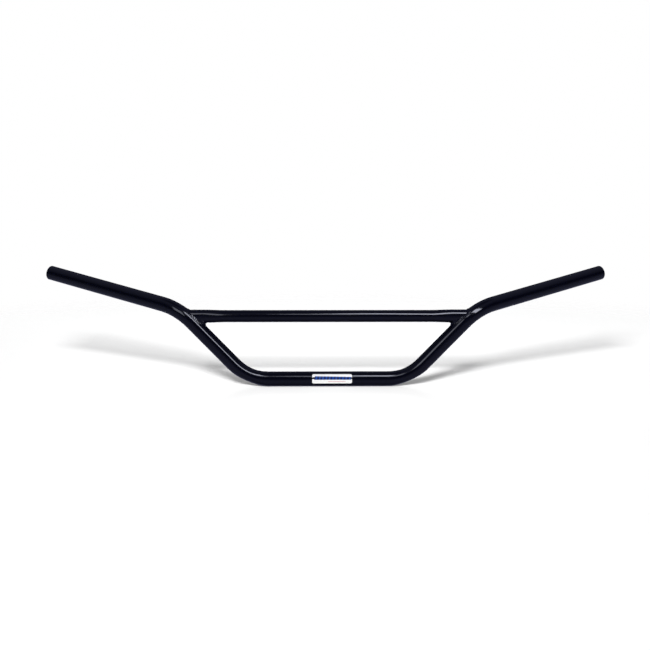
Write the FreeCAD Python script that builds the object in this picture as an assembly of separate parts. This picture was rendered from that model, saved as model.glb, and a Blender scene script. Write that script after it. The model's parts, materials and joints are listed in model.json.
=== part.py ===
"""Welded motorcycle handlebar: a bent main tube, a coped crossbar, two weld beads and a label.

Frame: +X along the bar's width, -Y is the front (label side), +Y is the rider's side that the
grips sweep back to, +Z up. The origin is on the tube's axis, in the middle of the clamp zone.
Millimetres and degrees.
"""
import FreeCAD, Part
import math
import os
from FreeCAD import Vector

# Main tube: a 22.2 mm (7/8 in) tube with four bends of one radius
TUBE_RADIUS = 11.1
TUBE_WALL = 2.0
BEND_RADIUS = 75.0
LOWER_CORNER_X = 120.0       # middle of the bar to the lower bend's corner
RISER_ANGLE = 46.0           # riser above horizontal
RISER_LENGTH = 148.0         # lower corner to upper corner
GRIP_SWEEP = 26.5            # grip turned back from the bar's width, seen from above
GRIP_RISE = 10.5             # grip above horizontal
GRIP_LENGTH = 241.5          # upper corner to the tube's end
END_ROUNDING = 0.6           # broken edges of the tube's cut ends

# Crossbar: an 18 mm tube whose ends are squeezed taller and thinner before they are coped
CROSSBAR_RADIUS = 9.0
CROSSBAR_WALL = 1.5
CROSSBAR_HEIGHT = 95.0       # above the clamp zone's axis
SQUEEZED_HALF_HEIGHT = 9.7
SQUEEZED_HALF_DEPTH = 7.9
SQUEEZE_START_X = 150.0
SQUEEZE_END_X = 186.0
SQUEEZE_SECTIONS = 5

# Weld beads: each spreads over both tubes, and fills the sharp corner under the crossbar
WELD_LEG = 3.0               # spread over each tube where they meet at an open angle
WELD_TOP_LEG = 1.8           # the same on top of the crossbar
WELD_CORNER_LEG = 1.8        # extra spread on the main tube between top, front, bottom and back
WELD_TOE_SPREAD = 0.84       # the toe on the main tube stops this share of its radius from its axis
WELD_FILL_RADIUS = 2.8       # roundness of the sharp corner's fill
WELD_BULGE = 0.85            # face above the line between its toes
WELD_HOLLOW = 3.1            # how much lower the face lies where the corner is sharp
WELD_SINK = 0.4              # a bead is drawn this far into the tubes, then cut to them
WELD_SECTIONS = 48
JOINT_TOLERANCE = 0.0001

# Label: a film wrapped round the front of the clamp zone
LABEL_LENGTH = 59.4
LABEL_HEIGHT = 13.7          # straight across, not along the curve
LABEL_THICKNESS = 0.2
LABEL_CORNER = 2.5
LABEL_CENTRE_X = 5.3
LABEL_TILT = 10.7            # its middle looks this far above straight ahead

X_AXIS = Vector(1, 0, 0)
ORIGIN = Vector(0, 0, 0)


def mirrored(shape):
    """The same shape on the other side of the bar's middle plane."""
    return shape.mirror(ORIGIN, X_AXIS)


def tube_corners():
    """The main tube's path as corners, from the left end to the right end."""
    riser = math.radians(RISER_ANGLE)
    sweep = math.radians(GRIP_SWEEP)
    rise = math.radians(GRIP_RISE)
    lower = Vector(LOWER_CORNER_X, 0, 0)
    upper = lower + Vector(math.cos(riser), 0, math.sin(riser)) * RISER_LENGTH
    outward = math.cos(rise) * math.cos(sweep)
    backward = math.cos(rise) * math.sin(sweep)
    end = upper + Vector(outward, backward, math.sin(rise)) * GRIP_LENGTH
    right = [lower, upper, end]
    left = [Vector(-point.x, point.y, point.z) for point in reversed(right)]
    return left + right


def rod_run(start, end, radius):
    """A straight rod between two points."""
    along = end - start
    return Part.makeCylinder(radius, along.Length, start, along)


def rod_bend(start, corner, end, radius):
    """A rod bent at BEND_RADIUS from start to end, tangent to the two runs that meet at corner."""
    incoming = (corner - start).normalize()
    outgoing = (end - corner).normalize()
    axis = incoming.cross(outgoing).normalize()
    centre = start + axis.cross(incoming) * BEND_RADIUS
    section = Part.Face(Part.Wire(Part.makeCircle(radius, start, incoming)))
    return section.revolve(centre, axis, math.degrees(incoming.getAngle(outgoing)))


def bent_rod(corners, radius):
    """A solid rod along the corners, each inner corner rounded to BEND_RADIUS."""
    pieces = []
    run_start = corners[0]
    for before, corner, after in zip(corners, corners[1:], corners[2:]):
        incoming = (corner - before).normalize()
        outgoing = (after - corner).normalize()
        setback = BEND_RADIUS * math.tan(incoming.getAngle(outgoing) / 2)
        bend_start = corner - incoming * setback
        bend_end = corner + outgoing * setback
        pieces.append(rod_run(run_start, bend_start, radius))
        pieces.append(rod_bend(bend_start, corner, bend_end, radius))
        run_start = bend_end
    pieces.append(rod_run(run_start, corners[-1], radius))
    return pieces[0].multiFuse(pieces[1:]).removeSplitter()


def end_edges(shape, corners):
    """The circular edges of the two cut ends."""
    ends = (corners[0], corners[-1])
    return [edge for edge in shape.Edges
            if isinstance(edge.Curve, Part.Circle)
            and min(edge.Curve.Center.distanceToPoint(end) for end in ends) < END_ROUNDING]


def main_tube():
    """The hollow bent tube, with both cut ends deburred."""
    corners = tube_corners()
    tube = bent_rod(corners, TUBE_RADIUS).cut(bent_rod(corners, TUBE_RADIUS - TUBE_WALL))
    return tube.makeFillet(END_ROUNDING, end_edges(tube, corners))


def squeezed_section(x, half_depth, half_height):
    """An upright ellipse or circle across the crossbar, at x."""
    centre = Vector(x, 0, CROSSBAR_HEIGHT)
    if half_height > half_depth:
        top = centre + Vector(0, 0, half_height)
        side = centre + Vector(0, half_depth, 0)
        return Part.Wire(Part.Ellipse(top, side, centre).toShape())
    return Part.Wire(Part.makeCircle(half_depth, centre, X_AXIS))


def crossbar_reach():
    """How far out along X the crossbar's axis meets the riser's axis."""
    return LOWER_CORNER_X + CROSSBAR_HEIGHT / math.tan(math.radians(RISER_ANGLE))


def squeezed_end(offset):
    """The crossbar's right end as a rod, round where it starts and squeezed where it is coped."""
    sections = []
    for step in range(SQUEEZE_SECTIONS + 1):
        share = step / SQUEEZE_SECTIONS
        eased = (1 - math.cos(math.pi * share)) / 2
        x = SQUEEZE_START_X + (SQUEEZE_END_X - SQUEEZE_START_X) * share
        half_depth = CROSSBAR_RADIUS + (SQUEEZED_HALF_DEPTH - CROSSBAR_RADIUS) * eased + offset
        half_height = CROSSBAR_RADIUS + (SQUEEZED_HALF_HEIGHT - CROSSBAR_RADIUS) * eased + offset
        sections.append(squeezed_section(x, half_depth, half_height))
    neck = Part.makeLoft(sections, True)
    reach = crossbar_reach()
    last = squeezed_section(reach, SQUEEZED_HALF_DEPTH + offset, SQUEEZED_HALF_HEIGHT + offset)
    return neck.fuse(Part.makeLoft([sections[-1], last], True))


def crossbar_rod(offset):
    """The crossbar as a solid rod that runs into the risers' axes."""
    start = Vector(-SQUEEZE_START_X, 0, CROSSBAR_HEIGHT)
    end = Vector(SQUEEZE_START_X, 0, CROSSBAR_HEIGHT)
    right = squeezed_end(offset)
    return rod_run(start, end, CROSSBAR_RADIUS + offset).multiFuse([right, mirrored(right)])


def crossbar():
    """The hollow crossbar, coped to sit on the outside of the main tube."""
    tube = crossbar_rod(0).cut(crossbar_rod(-CROSSBAR_WALL))
    return tube.cut(bent_rod(tube_corners(), TUBE_RADIUS))


def nearest_on_axis(point):
    """The point of the main tube's axis nearest to a point beside the right joint."""
    lower, upper, end = tube_corners()[3:]
    incoming = (upper - lower).normalize()
    outgoing = (end - upper).normalize()
    setback = BEND_RADIUS * math.tan(incoming.getAngle(outgoing) / 2)
    bend_start = upper - incoming * setback
    past = (point - bend_start).dot(incoming)
    if past < 0:
        return bend_start + incoming * past
    axis = incoming.cross(outgoing).normalize()
    centre = bend_start + axis.cross(incoming) * BEND_RADIUS
    radial = point - centre
    radial -= axis * radial.dot(axis)
    return centre + radial.normalize() * BEND_RADIUS


def joint_point(angle):
    """Where the crossbar's right end meets the main tube, at an angle from the front."""
    near = SQUEEZE_START_X
    far = crossbar_reach()
    y = -SQUEEZED_HALF_DEPTH * math.cos(angle)
    z = CROSSBAR_HEIGHT + SQUEEZED_HALF_HEIGHT * math.sin(angle)
    while far - near > JOINT_TOLERANCE:
        point = Vector((near + far) / 2, y, z)
        if point.distanceToPoint(nearest_on_axis(point)) > TUBE_RADIUS:
            near = point.x
        else:
            far = point.x
    return Vector(near, y, z)


def weld_size(tube_normal, bar_normal, angle):
    """(spread over each tube, height of the face) of the bead, at an angle from the front."""
    half_corner = (math.pi - tube_normal.getAngle(bar_normal)) / 2
    on_top = max(0, math.sin(angle)) ** 2
    open_leg = WELD_LEG + (WELD_TOP_LEG - WELD_LEG) * on_top
    leg = math.hypot(open_leg, WELD_FILL_RADIUS / math.tan(half_corner))
    return leg, WELD_BULGE - WELD_HOLLOW * math.cos(half_corner) ** 2


def weld_toe(point):
    """The point moved just under the main tube's surface, within the toe's spread."""
    foot = nearest_on_axis(point)
    out = (point - foot).normalize()
    spread = min(WELD_TOE_SPREAD, max(-WELD_TOE_SPREAD, out.y))
    inward = Vector(out.x, 0, out.z).normalize() * math.sqrt(1 - spread ** 2)
    return foot + (inward + Vector(0, spread, 0)) * (TUBE_RADIUS - WELD_SINK)


def weld_section(angle):
    """One section of the right bead: its root, toe on the tube, middle and toe on the crossbar."""
    point = joint_point(angle)
    tube_normal = (point - nearest_on_axis(point)).normalize()
    bar_normal = Vector(0, point.y / SQUEEZED_HALF_DEPTH ** 2,
                        (point.z - CROSSBAR_HEIGHT) / SQUEEZED_HALF_HEIGHT ** 2).normalize()
    along = tube_normal.cross(bar_normal).normalize()
    leg, bulge = weld_size(tube_normal, bar_normal, angle)
    corner_leg = WELD_CORNER_LEG * math.sin(2 * angle) ** 2
    tube_toe = weld_toe(point - tube_normal.cross(along) * (leg + corner_leg))
    bar_toe = point + bar_normal.cross(along) * leg - bar_normal * WELD_SINK
    outward = (tube_normal + bar_normal).normalize()
    middle = (tube_toe + bar_toe) / 2 + outward * (bulge + WELD_SINK)
    root = point - (tube_normal + bar_normal) * WELD_SINK
    return Part.makePolygon([root, tube_toe, middle, bar_toe, root])


def right_weld():
    """The bead round the crossbar's right end, lying on both tubes."""
    sections = [weld_section(math.tau * step / WELD_SECTIONS) for step in range(WELD_SECTIONS)]
    bead = Part.makeLoft(sections + sections[:1], True)
    return bead.cut(bent_rod(tube_corners(), TUBE_RADIUS)).cut(crossbar_rod(0))


def label():
    """A film with rounded corners, wrapped round the front of the clamp zone."""
    start = Vector(LABEL_CENTRE_X - LABEL_LENGTH / 2, 0, 0)
    film = Part.makeCylinder(TUBE_RADIUS + LABEL_THICKNESS, LABEL_LENGTH, start, X_AXIS)
    film = film.cut(Part.makeCylinder(TUBE_RADIUS, LABEL_LENGTH, start, X_AXIS))
    reach = TUBE_RADIUS + 2 * LABEL_THICKNESS
    corner = start + Vector(0, -reach, -LABEL_HEIGHT / 2)
    outline = Part.makeBox(LABEL_LENGTH, reach, LABEL_HEIGHT, corner)
    upright_edges = [edge for edge in outline.Edges if abs(edge.tangentAt(edge.FirstParameter).y) > 0.5]
    outline = outline.makeFillet(LABEL_CORNER, upright_edges)
    film = film.common(outline)
    film.rotate(ORIGIN, X_AXIS, -LABEL_TILT)
    return film


def write(name, shape):
    """Write one node's STEP file and report its solids and volume."""
    solids = shape.Solids
    body = solids[0] if len(solids) == 1 else Part.makeCompound(solids)
    body.exportStep(os.path.join("parts", name + ".step"))
    print(name, "solids", len(solids), "valid", body.isValid(), "volume", round(body.Volume, 1))


def main():
    os.makedirs("parts", exist_ok=True)
    weld = right_weld()
    write("main_tube", main_tube())
    write("crossbar", crossbar())
    write("weld_right", weld)
    write("weld_left", mirrored(weld))
    write("label", label())


main()
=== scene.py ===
import json
import math

import bpy
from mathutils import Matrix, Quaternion, Vector


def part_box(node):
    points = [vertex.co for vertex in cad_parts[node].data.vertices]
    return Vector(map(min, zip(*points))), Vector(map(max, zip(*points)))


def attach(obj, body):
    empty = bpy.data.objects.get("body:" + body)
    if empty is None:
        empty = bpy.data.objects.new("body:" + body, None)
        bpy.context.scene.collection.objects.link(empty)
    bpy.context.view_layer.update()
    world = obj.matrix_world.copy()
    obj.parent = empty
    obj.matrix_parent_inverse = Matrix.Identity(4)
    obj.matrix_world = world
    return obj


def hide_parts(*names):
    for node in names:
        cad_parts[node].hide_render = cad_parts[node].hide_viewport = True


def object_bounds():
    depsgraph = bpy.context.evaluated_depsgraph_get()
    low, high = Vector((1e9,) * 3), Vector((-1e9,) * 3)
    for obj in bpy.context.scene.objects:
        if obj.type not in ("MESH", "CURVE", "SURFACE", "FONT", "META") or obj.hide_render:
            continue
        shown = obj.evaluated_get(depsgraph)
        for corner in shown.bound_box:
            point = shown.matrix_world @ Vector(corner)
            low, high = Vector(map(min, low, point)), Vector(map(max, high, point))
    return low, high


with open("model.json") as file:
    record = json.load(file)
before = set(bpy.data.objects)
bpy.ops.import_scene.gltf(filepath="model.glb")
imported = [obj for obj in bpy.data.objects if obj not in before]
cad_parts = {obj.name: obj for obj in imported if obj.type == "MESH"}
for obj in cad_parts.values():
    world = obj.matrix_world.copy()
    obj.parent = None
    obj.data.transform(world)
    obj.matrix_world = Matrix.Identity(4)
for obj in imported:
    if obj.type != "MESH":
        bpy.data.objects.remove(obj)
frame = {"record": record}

CAD_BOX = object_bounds()
BAR_MIDDLE = (CAD_BOX[0] + CAD_BOX[1]) / 2
MOUNTS = {mount["name"]: mount for mount in frame["record"]["mounts"]}
MM = 0.001

# Main tube
TUBE_RADIUS = MOUNTS["clamp_zone"]["dims"]["r_mm"] * MM
BORE_RADIUS = MOUNTS["bar_end_right"]["dims"]["r_mm"] * MM
RIGHT_END = Vector(MOUNTS["bar_end_right"]["pos_m"])
GRIP_AXIS = Vector(MOUNTS["grip_right"]["axis"])
LOWER_CORNER = Vector((120 * MM, 0, 0))
UPPER_CORNER = RIGHT_END - GRIP_AXIS * (RIGHT_END.y / GRIP_AXIS.y)
BEND_RADIUS = 75 * MM
END_ROUNDING = 0.6 * MM
LOWER_FLATTENING = 0.055     # share of the radius lost towards a lower bend's centre
UPPER_FLATTENING = 0.01
BEND_OUTSIDE = 2.0           # how many times more a bend is flattened on its outside
BEND_BULGE = 0.5             # share of the flattening gained across the bend
ROUND_STEPS = 96             # points round each tube
RUN_STEP = 8 * MM            # between rings on straight runs
BEND_STEP = math.radians(1.5)
ROUNDING_STEPS = 5           # round each rounded edge
SMOOTH_ANGLE = math.radians(40)
SEAM_HEIGHT = 0.35 * MM      # the rolled tube's weld seam, inside the bore
SEAM_HALF_WIDTH = math.radians(6)
SEAM_ANGLE = math.radians(205)

# Crossbar
CROSSBAR_RADIUS = MOUNTS["crossbar_middle"]["dims"]["r_mm"] * MM
CROSSBAR_HEIGHT = MOUNTS["crossbar_middle"]["pos_m"][2]
CROSSBAR_WALL = 1.5 * MM
ROUND_HALF_LENGTH = MOUNTS["crossbar_middle"]["dims"]["length_mm"] * MM / 2
SQUEEZE_LENGTH = 36 * MM
SQUEEZED_HALF_HEIGHT = 9.7 * MM
SQUEEZED_HALF_DEPTH = 7.9 * MM
SQUEEZED_POWER = 2.35        # a superellipse with flatter sides; 2 is a plain ellipse
COPE_RINGS = 40
COPE_TOLERANCE = MM / 1000
COPE_SINK = 0.3 * MM         # how far the coped edge is sunk under the weld

# Weld beads
WELD_LEG = 3.0 * MM          # spread over the main tube where they meet at an open angle
WELD_TOP_LEG = 1.8 * MM      # the same on top of the crossbar
WELD_BAR_SHARE = 0.55        # spread over the crossbar, as a share of that over the main tube
WELD_CORNER_LEG = 1.8 * MM   # extra spread on the main tube between top, front, bottom and back
WELD_TOE_SPREAD = 0.84       # the toe on the main tube stops this share of its radius from its axis
WELD_LEAN = 0.55             # below 1, the crest lies nearer to the main tube
WELD_FILL_RADIUS = 2.8 * MM  # roundness of the sharp corner's fill
WELD_CREST = 1.1 * MM        # crest above the line between the face's toes where the corner is open
WELD_HOLLOW = 2.3 * MM       # the face's middle below that line where the corner is sharp
WELD_SINK = 0.25 * MM
WELD_STATIONS = 288
WELD_FACE_STEPS = 20
RIPPLE_COUNT = 36            # ripples round one bead
RIPPLE_HEIGHT = 0.12 * MM
RIPPLE_BOW = 0.9             # how far each ripple is bowed, in ripples

# Label
LABEL_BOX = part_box("label")
LABEL_LENGTH = LABEL_BOX[1].x - LABEL_BOX[0].x
LABEL_CENTRE_X = (LABEL_BOX[1].x + LABEL_BOX[0].x) / 2
LABEL_THICKNESS = 0.2 * MM
LABEL_CORNER = 2.5 * MM
LABEL_TOP = math.asin(LABEL_BOX[1].z / (TUBE_RADIUS + LABEL_THICKNESS))
LABEL_BOTTOM = math.asin(LABEL_BOX[0].z / TUBE_RADIUS)
LABEL_COLUMNS = 72
LABEL_ROWS = 28

# Label print: places are shares of the label's length (along) and height (up)
BLOCK_COUNT = 12             # blocks that the band would fit along the whole label
BLOCK_DARK = (0.12, 0.75)    # the darker part of each block
BLOCK_SLANT = -0.05          # how much further along the blocks are at the top
BAND_ALONG = (0.03, 0.95)
BAND_UP = (0.40, 0.782)
BAND_TAPER = 0.093           # how much lower the band's top is at its far end
LINE_UP = (0.456, 0.67)
RED_ALONG = (0.40, 0.84)
RED_UP = (0.186, 0.24)
FILM_WHITE = (0.93, 0.92, 0.88)
PRINT_RED = (0.78, 0.41, 0.41)
PRINT_BLUE = (0.014, 0.09, 0.40)
PRINT_DARK_BLUE = (0.002, 0.008, 0.08)
PRINT_BLACK = (0.003, 0.003, 0.015)

# Paint and bare steel
PAINT_DARK = (0.0003, 0.0004, 0.0026)
PAINT_PALE = (0.0005, 0.0007, 0.0040)
PAINT_IOR = 1.5
PAINT_GRAIN_DEPTH = 0.001 * MM
TUBE_PEEL_DEPTH = 0.006 * MM
WELD_PEEL_DEPTH = 0.009 * MM
STEEL_DARK = (0.035, 0.030, 0.028)
STEEL_PALE = (0.12, 0.115, 0.11)
STEEL_SCALE_DEPTH = 0.05 * MM
FILM_WAVE_DEPTH = 0.03 * MM
NOISE_RANGE = (0.3, 0.7)     # where nearly all of a noise's values lie

FRONT = Vector((0, -1, 0))
UP = Vector((0, 0, 1))
MIRROR = Vector((-1, 1, 1))


def mirrored(point):
    """The point on the other side of the bar's middle plane."""
    return point * MIRROR


def make_object(name, points, faces):
    """A mesh object, shaded smooth apart from edges sharper than SMOOTH_ANGLE."""
    mesh = bpy.data.meshes.new(name)
    mesh.from_pydata(points, [], faces)
    mesh.validate()
    piece = bpy.data.objects.new(name, mesh)
    bpy.context.scene.collection.objects.link(piece)
    mesh.shade_smooth()
    mesh.set_sharp_from_angle(angle=SMOOTH_ANGLE)
    return piece


def ring_faces(rings, per_ring, flip=False):
    """Quads between neighbouring rings of per_ring points, and from the last ring to the first."""
    faces = []
    for ring in range(rings):
        after = (ring + 1) % rings
        for side in range(per_ring):
            beside = (side + 1) % per_ring
            quad = (ring * per_ring + side, ring * per_ring + beside,
                    after * per_ring + beside, after * per_ring + side)
            faces.append(quad[::-1] if flip else quad)
    return faces


# ---------------------------------------------------------------- main tube

def tube_corners():
    """The main tube's path as corners, from the left end to the right end."""
    right = [LOWER_CORNER, UPPER_CORNER, RIGHT_END]
    return [mirrored(point) for point in reversed(right)] + right


def run_stations(start, end):
    """Stations on a straight run: (point, direction, direction to the bend's centre, squash)."""
    along = (end - start).normalized()
    count = max(1, round((end - start).length / RUN_STEP))
    return [(start.lerp(end, step / count), along, UP, 0.0) for step in range(count + 1)]


def bend_stations(start, incoming, outgoing, flattening):
    """Stations round a bend from start, without its two ends, flattened most in the middle."""
    turn = incoming.angle(outgoing)
    axis = incoming.cross(outgoing).normalized()
    inward = axis.cross(incoming)
    centre = start + inward * BEND_RADIUS
    count = round(turn / BEND_STEP)
    stations = []
    for step in range(1, count):
        angle = turn * step / count
        to_centre = inward * math.cos(angle) - incoming * math.sin(angle)
        along = incoming * math.cos(angle) + inward * math.sin(angle)
        squash = flattening * math.sin(math.pi * step / count) ** 2
        stations.append((centre - to_centre * BEND_RADIUS, along, to_centre, squash))
    return stations


def tube_stations():
    """Stations along the whole main tube."""
    corners = tube_corners()
    stations = []
    start = corners[0]
    for before, corner, after in zip(corners, corners[1:], corners[2:]):
        incoming = (corner - before).normalized()
        outgoing = (after - corner).normalized()
        setback = BEND_RADIUS * math.tan(incoming.angle(outgoing) / 2)
        stations += run_stations(start, corner - incoming * setback)
        flattening = LOWER_FLATTENING if corner.z == LOWER_CORNER.z else UPPER_FLATTENING
        stations += bend_stations(corner - incoming * setback, incoming, outgoing, flattening)
        start = corner + outgoing * setback
    return stations + run_stations(start, corners[-1])


def tube_ring(station, radius, shift=0.0, seam=0.0):
    """One ring of points round a station, squashed in a bend, with a seam ridge on its inside."""
    point, along, to_centre, squash = station
    front = (FRONT - along * FRONT.dot(along)).normalized()
    side = along.cross(front)
    across = along.cross(to_centre).normalized()
    ring = []
    for step in range(ROUND_STEPS):
        angle = math.tau * step / ROUND_STEPS
        ridge = seam * math.exp(-((angle - SEAM_ANGLE) / SEAM_HALF_WIDTH) ** 2)
        out = (front * math.cos(angle) + side * math.sin(angle)) * (radius - ridge)
        inward = out.dot(to_centre)
        out -= to_centre * inward * squash * (1 if inward > 0 else BEND_OUTSIDE)
        out += across * out.dot(across) * BEND_BULGE * squash
        ring.append(point + along * shift + out)
    return ring


def end_rings(station, outward):
    """The rings round one cut end, from its outside to its bore: two rounded edges and a face."""
    rings = []
    for step in range(ROUNDING_STEPS + 1):
        angle = math.pi / 2 * step / ROUNDING_STEPS
        inset = END_ROUNDING * (1 - math.cos(angle))
        depth = END_ROUNDING * (1 - math.sin(angle))
        rings.append((TUBE_RADIUS - inset, depth))
    for step in range(ROUNDING_STEPS + 1):
        angle = math.pi / 2 * step / ROUNDING_STEPS
        inset = END_ROUNDING * (1 - math.sin(angle))
        depth = END_ROUNDING * (1 - math.cos(angle))
        rings.append((BORE_RADIUS + inset, depth))
    return [tube_ring(station, radius, -outward * depth) for radius, depth in rings]


def build_main_tube():
    """The hollow bent tube as one closed surface: outside, right end, bore, left end."""
    stations = tube_stations()
    inner = stations[1:-1]
    rings = end_rings(stations[0], -1)[::-1]
    rings += [tube_ring(station, TUBE_RADIUS) for station in inner]
    rings += end_rings(stations[-1], 1)
    rings += [tube_ring(station, BORE_RADIUS, seam=SEAM_HEIGHT) for station in reversed(inner)]
    points = [point for ring in rings for point in ring]
    piece = make_object("bent_main_tube", points, ring_faces(len(rings), ROUND_STEPS))
    bore_from = len(rings) - len(inner) - 1
    for face in piece.data.polygons:
        face.material_index = 1 if face.index // ROUND_STEPS >= bore_from else 0
    return piece


# ---------------------------------------------------------------- crossbar

def nearest_on_axis(point):
    """The point of the main tube's axis nearest to a point beside the right joint."""
    incoming = (UPPER_CORNER - LOWER_CORNER).normalized()
    setback = BEND_RADIUS * math.tan(incoming.angle(GRIP_AXIS) / 2)
    bend_start = UPPER_CORNER - incoming * setback
    past = (point - bend_start).dot(incoming)
    if past < 0:
        return bend_start + incoming * past
    axis = incoming.cross(GRIP_AXIS).normalized()
    centre = bend_start + axis.cross(incoming) * BEND_RADIUS
    radial = point - centre
    radial -= axis * radial.dot(axis)
    return centre + radial.normalized() * BEND_RADIUS


def section_at(x):
    """(half depth, half height, power) of the crossbar's section at x from its middle."""
    share = min(1.0, max(0.0, (abs(x) - ROUND_HALF_LENGTH) / SQUEEZE_LENGTH))
    eased = (1 - math.cos(math.pi * share)) / 2
    return (CROSSBAR_RADIUS + (SQUEEZED_HALF_DEPTH - CROSSBAR_RADIUS) * eased,
            CROSSBAR_RADIUS + (SQUEEZED_HALF_HEIGHT - CROSSBAR_RADIUS) * eased,
            2 + (SQUEEZED_POWER - 2) * eased)


def section_point(x, angle, inset=0.0):
    """A point on the crossbar's outside, or inset from it, at an angle from the front."""
    depth, height, power = section_at(x)
    forward = math.copysign(abs(math.cos(angle)) ** (2 / power), math.cos(angle))
    upward = math.copysign(abs(math.sin(angle)) ** (2 / power), math.sin(angle))
    return Vector((x, -(depth - inset) * forward, CROSSBAR_HEIGHT + (height - inset) * upward))


def cope_x(angle, inset=0.0):
    """How far out along X the crossbar runs, at an angle, before it meets the main tube."""
    near = ROUND_HALF_LENGTH
    riser = UPPER_CORNER - LOWER_CORNER
    far = LOWER_CORNER.x + CROSSBAR_HEIGHT * riser.x / riser.z
    while far - near > COPE_TOLERANCE:
        x = (near + far) / 2
        point = section_point(x, angle, inset)
        if (point - nearest_on_axis(point)).length > TUBE_RADIUS:
            near = x
        else:
            far = x
    return near


def crossbar_surface(inset):
    """Rings along the crossbar from its left cope to its right cope."""
    angles = [math.tau * step / ROUND_STEPS for step in range(ROUND_STEPS)]
    copes = [cope_x(angle, inset) + COPE_SINK for angle in angles]
    right = []
    for ring in range(1, COPE_RINGS + 1):
        share = ring / COPE_RINGS
        right.append([section_point(ROUND_HALF_LENGTH + (cope - ROUND_HALF_LENGTH) * share, angle, inset)
                      for angle, cope in zip(angles, copes)])
    left = [[mirrored(point) for point in ring] for ring in reversed(right)]
    count = round(2 * ROUND_HALF_LENGTH / RUN_STEP)
    middle = [[section_point(ROUND_HALF_LENGTH * (2 * ring / count - 1), angle, inset) for angle in angles]
              for ring in range(count + 1)]
    return left + middle + right


def build_crossbar():
    """The hollow crossbar as one closed surface, coped at both ends."""
    rings = crossbar_surface(0.0) + crossbar_surface(CROSSBAR_WALL)[::-1]
    points = [point for ring in rings for point in ring]
    return make_object("coped_crossbar", points, ring_faces(len(rings), ROUND_STEPS, flip=True))


# ---------------------------------------------------------------- welds

def on_main_tube(point, depth):
    """The point moved onto the main tube's outside, or depth under it, within the toe's spread."""
    foot = nearest_on_axis(point)
    out = (point - foot).normalized()
    spread = min(WELD_TOE_SPREAD, max(-WELD_TOE_SPREAD, out.y))
    inward = Vector((out.x, 0, out.z)).normalized() * math.sqrt(1 - spread ** 2)
    return foot + (inward - FRONT * spread) * (TUBE_RADIUS - depth)


def on_crossbar(point, sink):
    """The point moved onto the crossbar's outside, or sink under it."""
    depth, height, power = section_at(point.x)
    y, z = point.y / depth, (point.z - CROSSBAR_HEIGHT) / height
    reach = (abs(y) ** power + abs(z) ** power) ** (1 / power)
    return Vector((point.x, y / reach * (depth - sink), CROSSBAR_HEIGHT + z / reach * (height - sink)))


def crossbar_normal(point):
    """The crossbar's outward normal at a point on it."""
    depth, height, power = section_at(point.x)
    y, z = point.y / depth, (point.z - CROSSBAR_HEIGHT) / height
    return Vector((0, math.copysign(abs(y) ** (power - 1), y) / depth,
                   math.copysign(abs(z) ** (power - 1), z) / height)).normalized()


def weld_size(tube_out, bar_out, angle):
    """(spread on the main tube, on the crossbar, crest's height, hollow's depth) at an angle."""
    half_corner = (math.pi - tube_out.angle(bar_out)) / 2
    open_leg = WELD_LEG + (WELD_TOP_LEG - WELD_LEG) * max(0, math.sin(angle))
    corner_leg = WELD_CORNER_LEG * math.sin(2 * angle) ** 2
    fill = WELD_FILL_RADIUS / math.tan(half_corner)
    crest = WELD_CREST * open_leg / WELD_LEG * math.sin(half_corner) ** 2
    return (math.hypot(open_leg, fill) + corner_leg, math.hypot(open_leg * WELD_BAR_SHARE, fill),
            crest, WELD_HOLLOW * math.cos(half_corner) ** 2)


def weld_section(turn):
    """One section of the right bead: a sunk root, a toe on each tube and a rippled face."""
    angle = math.tau * turn
    point = section_point(cope_x(angle), angle)
    tube_out = (point - nearest_on_axis(point)).normalized()
    bar_out = crossbar_normal(point)
    along = tube_out.cross(bar_out).normalized()
    tube_leg, bar_leg, crest, hollow = weld_size(tube_out, bar_out, angle)
    outward = (tube_out + bar_out).normalized()
    face = []
    for step in range(WELD_FACE_STEPS + 1):
        share = step / WELD_FACE_STEPS
        arch = math.sin(math.pi * share ** WELD_LEAN)
        phase = math.pi * (turn * RIPPLE_COUNT + RIPPLE_BOW * arch)
        ripple = RIPPLE_HEIGHT * (abs(math.sin(phase)) - 0.5)
        tube_toe = on_main_tube(point - tube_out.cross(along) * (tube_leg + ripple), 0)
        bar_toe = point + bar_out.cross(along) * (bar_leg + ripple)
        height = arch * (crest + ripple) - hollow * math.sin(math.pi * share)
        face.append(tube_toe.lerp(bar_toe, share) + outward * height)
    face[0] = on_main_tube(face[0], WELD_SINK)
    face[-1] = on_crossbar(face[-1], WELD_SINK)
    root = point - (tube_out + bar_out) * WELD_SINK
    return [root] + face


def build_weld(name, mirror):
    """The bead round one end of the crossbar."""
    sections = [weld_section(step / WELD_STATIONS) for step in range(WELD_STATIONS)]
    points = [mirrored(point) if mirror else point for section in sections for point in section]
    faces = ring_faces(WELD_STATIONS, len(sections[0]), flip=not mirror)
    return make_object(name, points, faces)


# ---------------------------------------------------------------- label

def label_point(x, share, radius):
    """A point on the label: x from its middle, share from -1 at its lower edge to 1 at its upper."""
    beyond = max(0.0, abs(x) - (LABEL_LENGTH / 2 - LABEL_CORNER))
    drop = LABEL_CORNER - math.sqrt(max(0.0, LABEL_CORNER ** 2 - beyond ** 2))
    half_angle = (LABEL_TOP - LABEL_BOTTOM) / 2 - drop / TUBE_RADIUS
    angle = (LABEL_TOP + LABEL_BOTTOM) / 2 + share * half_angle
    return Vector((LABEL_CENTRE_X + x, -radius * math.cos(angle), radius * math.sin(angle)))


def label_columns():
    """Places along the label, closer together in its rounded corners."""
    return [LABEL_LENGTH / 2 * math.sin(math.pi / 2 * (2 * step / LABEL_COLUMNS - 1))
            for step in range(LABEL_COLUMNS + 1)]


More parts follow.
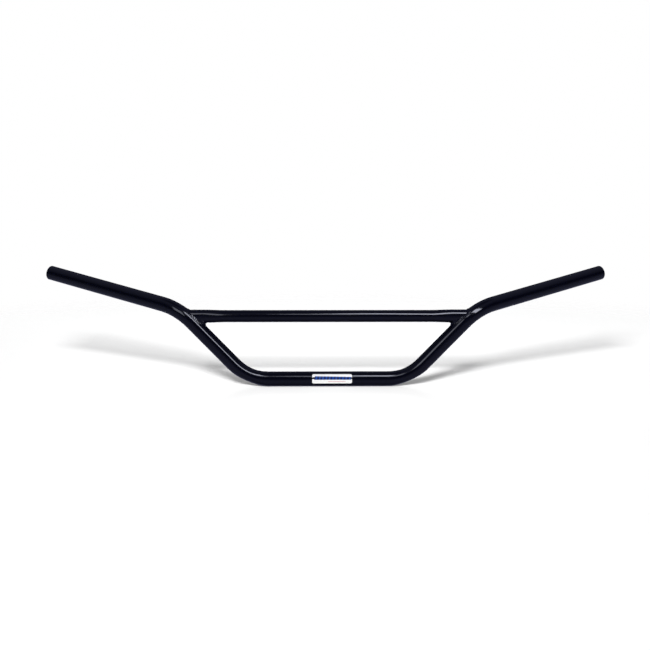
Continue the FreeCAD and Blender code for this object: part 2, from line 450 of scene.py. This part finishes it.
def build_label():
    """The film with its print side out, a thin edge all round and its back on the tube."""
    columns = label_columns()
    shares = [2 * row / LABEL_ROWS - 1 for row in range(LABEL_ROWS + 1)]
    points, faces = [], []
    for radius in (TUBE_RADIUS + LABEL_THICKNESS, TUBE_RADIUS):
        points += [label_point(x, share, radius) for x in columns for share in shares]
    rows = len(shares)
    layer = len(columns) * rows
    for column in range(len(columns) - 1):
        for row in range(LABEL_ROWS):
            corner = column * rows + row
            quad = (corner, corner + rows, corner + rows + 1, corner + 1)
            faces.append(quad)
            faces.append(tuple(layer + index for index in reversed(quad)))
    rim = list(range(rows))
    rim += [column * rows + LABEL_ROWS for column in range(1, len(columns))]
    rim += [(len(columns) - 1) * rows + row for row in range(LABEL_ROWS - 1, -1, -1)]
    rim += [column * rows for column in range(len(columns) - 2, 0, -1)]
    for index, here in enumerate(rim):
        there = rim[(index + 1) % len(rim)]
        faces.append((here, there, layer + there, layer + here))
    piece = make_object("printed_label", points, faces)
    add_label_coordinates(piece, columns, shares)
    return piece


def add_label_coordinates(piece, columns, shares):
    """UV coordinates that run 0 to 1 along and up the label."""
    places = [(x / LABEL_LENGTH + 0.5, share / 2 + 0.5) for x in columns for share in shares]
    layer = piece.data.uv_layers.new(name="print")
    for loop in piece.data.loops:
        layer.data[loop.index].uv = places[loop.vertex_index % len(places)]


# ---------------------------------------------------------------- materials

class Material:
    """A node material being built, with short helpers for the nodes used here."""

    def __init__(self, name):
        self.material = bpy.data.materials.new(name)
        self.material.use_nodes = True
        self.nodes = self.material.node_tree.nodes
        self.links = self.material.node_tree.links
        self.shader = self.nodes["Principled BSDF"]
        self.coordinates = self.nodes.new("ShaderNodeTexCoord").outputs

    def set(self, **values):
        """Sets the shader's own sockets; an underscore stands for a space."""
        for name, value in values.items():
            self.shader.inputs[name.replace("_", " ")].default_value = value

    def link(self, source, target):
        """Joins an output to an input, or to one of the shader's inputs by name."""
        target = self.shader.inputs[target] if isinstance(target, str) else target
        self.links.new(source, target)

    def noise(self, scale, detail=2.0, roughness=0.5):
        """Noise fixed to the object, with scale in waves per metre."""
        node = self.nodes.new("ShaderNodeTexNoise")
        node.inputs["Scale"].default_value = scale
        node.inputs["Detail"].default_value = detail
        node.inputs["Roughness"].default_value = roughness
        self.links.new(self.coordinates["Object"], node.inputs["Vector"])
        return node.outputs["Fac"]

    def remap(self, value, from_low, from_high, to_low, to_high):
        """value stretched from one range to another, and clamped."""
        node = self.nodes.new("ShaderNodeMapRange")
        self.links.new(value, node.inputs["Value"])
        for name, number in (("From Min", from_low), ("From Max", from_high),
                             ("To Min", to_low), ("To Max", to_high)):
            node.inputs[name].default_value = number
        return node.outputs["Result"]

    def spread(self, noise, low, high):
        """A noise's usual range stretched to low and high."""
        return self.remap(noise, *NOISE_RANGE, low, high)

    def math(self, operation, first, second=0.0, third=0.0):
        """A Math node on outputs or numbers."""
        node = self.nodes.new("ShaderNodeMath")
        node.operation = operation
        for socket, value in zip(node.inputs, (first, second, third)):
            if isinstance(value, (int, float)):
                socket.default_value = value
            else:
                self.links.new(value, socket)
        return node.outputs["Value"]

    def mix(self, share, first, second):
        """Two colours, or outputs of colour, mixed by share."""
        node = self.nodes.new("ShaderNodeMix")
        node.data_type = "RGBA"
        self.links.new(share, node.inputs["Factor"])
        for name, value in (("A", first), ("B", second)):
            socket = next(s for s in node.inputs if s.name == name and s.type == "RGBA")
            if isinstance(value, tuple):
                socket.default_value = (*value, 1.0)
            else:
                self.links.new(value, socket)
        return next(s for s in node.outputs if s.type == "RGBA")

    def bump(self, height, distance, normal=None):
        """A bump from height, with distance in metres, on top of another if normal is given."""
        node = self.nodes.new("ShaderNodeBump")
        node.inputs["Strength"].default_value = 1.0
        node.inputs["Distance"].default_value = distance
        self.links.new(height, node.inputs["Height"])
        if normal is not None:
            self.links.new(normal, node.inputs["Normal"])
        return node.outputs["Normal"]


def paint(name, peel_depth):
    """Black paint with a trace of blue, fine orange peel, and slightly uneven gloss."""
    made = Material(name)
    made.link(made.mix(made.noise(scale=60, detail=3), PAINT_DARK, PAINT_PALE), "Base Color")
    made.link(made.spread(made.noise(scale=140, detail=4), low=0.08, high=0.12), "Roughness")
    peel = made.bump(made.noise(scale=650, detail=2), peel_depth)
    grain = made.noise(scale=4200, detail=1)
    made.link(made.bump(grain, PAINT_GRAIN_DEPTH, normal=peel), "Normal")
    made.set(IOR=PAINT_IOR)
    return made.material


def bore_steel():
    """Bare tube steel inside the bore, with blotches of brown-grey mill scale."""
    made = Material("bore_steel")
    blotches = made.noise(scale=240, detail=6, roughness=0.65)
    made.link(made.mix(blotches, STEEL_DARK, STEEL_PALE), "Base Color")
    made.link(made.spread(blotches, low=0.42, high=0.7), "Roughness")
    made.link(made.bump(made.noise(scale=900, detail=4), STEEL_SCALE_DEPTH), "Normal")
    made.set(Metallic=0.8)
    return made.material


def label_print():
    """White film with a generic band of slanted blue blocks, a dark line and a short red line."""
    made = Material("label_print")
    split = made.nodes.new("ShaderNodeSeparateXYZ")
    made.link(made.coordinates["UV"], split.inputs["Vector"])
    along, up = split.outputs["X"], split.outputs["Y"]

    def between(value, low, high, blur):
        """1 where value is between low and high, with a soft edge."""
        rising = made.remap(value, low - blur, low + blur, 0, 1)
        falling = made.remap(value, high - blur, high + blur, 1, 0)
        return made.math("MULTIPLY", rising, falling)

    slanted = made.math("MULTIPLY_ADD", up, BLOCK_SLANT, along)
    tapered = made.math("MULTIPLY_ADD", along, BAND_TAPER, up)
    block = made.math("FRACT", made.math("MULTIPLY", slanted, BLOCK_COUNT))
    band = made.math("MULTIPLY", between(slanted, *BAND_ALONG, blur=0.004),
                     between(up, BAND_UP[0], 1, blur=0.02))
    band = made.math("MULTIPLY", band, between(tapered, 0, BAND_UP[1], blur=0.02))
    red = made.math("MULTIPLY", between(up, *RED_UP, blur=0.012), between(along, *RED_ALONG, blur=0.003))
    shade = made.mix(between(block, *BLOCK_DARK, blur=0.10), PRINT_BLUE, PRINT_DARK_BLUE)
    colour = made.mix(red, FILM_WHITE, PRINT_RED)
    colour = made.mix(between(up, *LINE_UP, blur=0.02), colour, PRINT_BLACK)
    made.link(made.mix(band, colour, shade), "Base Color")
    made.link(made.spread(made.noise(scale=300, detail=3), low=0.2, high=0.32), "Roughness")
    made.link(made.bump(made.noise(scale=180, detail=2), FILM_WAVE_DEPTH), "Normal")
    return made.material


# ---------------------------------------------------------------- stage, light and camera

# Lights are: name, azimuth, elevation, distance, width, height, tilt, radiance
# Softboxes for the bar alone
SOFTBOXES = (
    ("key_strip", 22, 37, 1.0, 0.73, 0.19, -60, 9.5),
    ("fill_box", -27, 25, 1.0, 0.33, 0.38, -5, 2.4),
    ("top_box", 0, 39, 0.73, 0.21, 0.10, -33, 3.2),
)
SOFTBOX_TINT = (0.93, 0.96, 1.12)
# Lights for the floor alone: one a little left of the camera and above it casts the long shadow, and
# a weak wide one behind the bar leaves a soft grey in front of it
SHADOW_LIGHTS = (
    ("front_shadow_light", -9, 27.5, 1.8, 0.34, 0.40, 0, 61.0),
    ("back_shadow_light", 180, 17, 1.8, 0.9, 0.57, 0, 2.6),
)
AMBIENT = 0.41               # radiance that lights the floor and the matt colours from all round
# Dim studio in the reflections: elevation in degrees, radiance
STUDIO_GLOW = ((-90, 0.05), (-65, 0.14), (-45, 0.20), (-20, 0.185), (-5, 0.09),
               (8, 0.026), (25, 0.032), (45, 0.12), (65, 0.16), (90, 0.05))
STUDIO_TINT = (0.94, 0.98, 1.56)
FLOOR_RADIUS = 4.0
FLOOR_FADE_START, FLOOR_FADE_END = 0.65, 1.3
# Paper grey near the front light and far from it, which evens out the light's fall
FLOOR_NEAR, FLOOR_FAR = (0.47, 0.47, 0.47), (0.66, 0.66, 0.66)
FLOOR_SHADE_REACH = 0.6      # from the middle to where the grey stops changing
FLOOR_SHADE_SKEW = 0.2       # how much further a step to the right is than a step back
FLOOR_UNEVENNESS = 0.02
FLOOR_ROUGHNESS = 0.9

CAMERA_AZIMUTH, CAMERA_ELEVATION, CAMERA_ROLL = -1.208, 8.0, 0.099
CAMERA_DISTANCE = 1.58
CAMERA_LENS = 57.14
SENSOR = 36.0
AIM_SHIFT = Vector((-4.4, -12.2, 0.85)) * MM


def towards(azimuth, elevation):
    """Unit vector towards a place seen from the object: azimuth 0 is the front, 90 is +X."""
    a, e = math.radians(azimuth), math.radians(elevation)
    return Vector((math.sin(a) * math.cos(e), -math.cos(a) * math.cos(e), math.sin(e)))


def build_floor():
    """A wide pale floor under the bar's lowest point, which fades into the white background."""
    low = CAD_BOX[0].z
    corners = [(x, y, low) for x, y in ((-1, -1), (1, -1), (1, 1), (-1, 1))]
    corners = [(x * FLOOR_RADIUS, y * FLOOR_RADIUS, z) for x, y, z in corners]
    floor = make_object("pale_floor", corners, [(0, 1, 2, 3)])
    made = Material("floor_paper")
    split = made.nodes.new("ShaderNodeSeparateXYZ")
    made.link(made.coordinates["Object"], split.inputs["Vector"])
    from_light = made.math("MULTIPLY_ADD", split.outputs["X"], FLOOR_SHADE_SKEW, split.outputs["Y"])
    shade = made.remap(from_light, -FLOOR_SHADE_REACH, FLOOR_SHADE_REACH, 0, 1)
    shade = made.math("MULTIPLY_ADD", made.noise(scale=3, detail=4), FLOOR_UNEVENNESS, shade)
    made.link(made.mix(shade, FLOOR_NEAR, FLOOR_FAR), "Base Color")
    made.set(Roughness=FLOOR_ROUGHNESS)
    distance = made.nodes.new("ShaderNodeVectorMath")
    distance.operation = "LENGTH"
    made.link(made.coordinates["Object"], distance.inputs[0])
    made.link(made.remap(distance.outputs["Value"], FLOOR_FADE_START, FLOOR_FADE_END, 1, 0), "Alpha")
    floor.data.materials.append(made.material)
    floor.visible_glossy = False
    return floor


def build_world():
    """White to the camera, even ambient light, and a dim studio in reflections."""
    world = bpy.data.worlds.new("studio")
    world.use_nodes = True
    bpy.context.scene.world = world
    nodes, links = world.node_tree.nodes, world.node_tree.links
    path = nodes.new("ShaderNodeLightPath")

    def backdrop(colour):
        """A background of one colour."""
        node = nodes.new("ShaderNodeBackground")
        node.inputs["Color"].default_value = (*colour, 1)
        return node

    def switch(ray, otherwise, chosen):
        """The chosen background for one kind of ray, and the other for the rest."""
        node = nodes.new("ShaderNodeMixShader")
        links.new(path.outputs[ray], node.inputs["Fac"])
        links.new(otherwise.outputs[0], node.inputs[1])
        links.new(chosen.outputs[0], node.inputs[2])
        return node

    coordinates = nodes.new("ShaderNodeTexCoord")
    split = nodes.new("ShaderNodeSeparateXYZ")
    links.new(coordinates.outputs["Generated"], split.inputs["Vector"])
    height = nodes.new("ShaderNodeMapRange")
    height.inputs["From Min"].default_value = -1
    links.new(split.outputs["Z"], height.inputs["Value"])
    ramp = nodes.new("ShaderNodeValToRGB")
    links.new(height.outputs["Result"], ramp.inputs["Fac"])
    stops = ramp.color_ramp.elements
    while len(stops) < len(STUDIO_GLOW):
        stops.new(0.5)
    for stop, (elevation, glow) in zip(stops, STUDIO_GLOW):
        stop.position = (math.sin(math.radians(elevation)) + 1) / 2
        stop.color = [glow * tint for tint in STUDIO_TINT] + [1]
    studio = backdrop((0, 0, 0))
    links.new(ramp.outputs["Color"], studio.inputs["Color"])
    lit = switch("Is Glossy Ray", backdrop((AMBIENT,) * 3), studio)
    seen = switch("Is Camera Ray", lit, backdrop((1, 1, 1)))
    links.new(seen.outputs[0], nodes["World Output"].inputs["Surface"])


def add_area_light(name, azimuth, elevation, distance, width, height, tilt, radiance):
    """A rectangular light in a direction from the bar's middle, aimed at it."""
    outward = towards(azimuth, elevation)
    lamp = bpy.data.lights.new(name, "AREA")
    lamp.shape = "RECTANGLE"
    lamp.size, lamp.size_y = width, height
    lamp.energy = radiance * math.pi * width * height
    light = bpy.data.objects.new(name, lamp)
    bpy.context.scene.collection.objects.link(light)
    light.location = BAR_MIDDLE + outward * distance
    light.rotation_mode = "QUATERNION"
    aimed = (-outward).to_track_quat("-Z", "Y")
    light.rotation_quaternion = aimed @ Quaternion((0, 0, 1), math.radians(tilt))
    light.visible_camera = False
    return light


def light_only(light, name, objects):
    """The light reaches these objects and no others."""
    receivers = bpy.data.collections.new(name)
    for item in objects:
        receivers.objects.link(item)
    light.light_linking.receiver_collection = receivers


def build_lights(floor, pieces):
    """Lights for the floor's shadows, and softboxes for the bar."""
    for shadow_light in SHADOW_LIGHTS:
        light = add_area_light(*shadow_light)
        light.data.use_nodes = True
        nodes = light.data.node_tree.nodes
        falloff = nodes.new("ShaderNodeLightFalloff")
        falloff.inputs["Strength"].default_value = 1
        strength = nodes["Emission"].inputs["Strength"]
        light.data.node_tree.links.new(falloff.outputs["Constant"], strength)
        light_only(light, "floor_under_" + shadow_light[0], [floor])
    for softbox in SOFTBOXES:
        light = add_area_light(*softbox)
        light.data.color = SOFTBOX_TINT
        light_only(light, "lit_by_" + softbox[0], pieces)


def build_camera():
    """The camera, a little above the bar and in front of it."""
    lens = bpy.data.cameras.new("camera")
    lens.sensor_width = SENSOR
    lens.lens = CAMERA_LENS
    camera = bpy.data.objects.new("camera", lens)
    bpy.context.scene.collection.objects.link(camera)
    back = towards(CAMERA_AZIMUTH, CAMERA_ELEVATION)
    camera.location = BAR_MIDDLE + AIM_SHIFT + back * CAMERA_DISTANCE
    level = (-back).to_track_quat("-Z", "Y")
    camera.rotation_mode = "QUATERNION"
    camera.rotation_quaternion = level @ Quaternion((0, 0, 1), math.radians(CAMERA_ROLL))
    bpy.context.scene.camera = camera


# ---------------------------------------------------------------- the object

def stand_for(node, slot, piece, *materials):
    """Gives a piece its materials and lets it stand for its CAD node."""
    for material in materials:
        piece.data.materials.append(material)
    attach(piece, "root")
    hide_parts(node)
    return piece


bpy.context.scene.view_settings.view_transform = "Standard"
build_camera()
tube_paint = paint("tube_paint", TUBE_PEEL_DEPTH)
weld_paint = paint("weld_paint", WELD_PEEL_DEPTH)
pieces = [
    stand_for("main_tube", "tube_paint", build_main_tube(), tube_paint, bore_steel()),
    stand_for("crossbar", "tube_paint", build_crossbar(), tube_paint),
    stand_for("weld_right", "weld_paint", build_weld("weld_bead_right", False), weld_paint),
    stand_for("weld_left", "weld_paint", build_weld("weld_bead_left", True), weld_paint),
    stand_for("label", "label_film", build_label(), label_print()),
]
build_world()
build_lights(build_floor(), pieces)
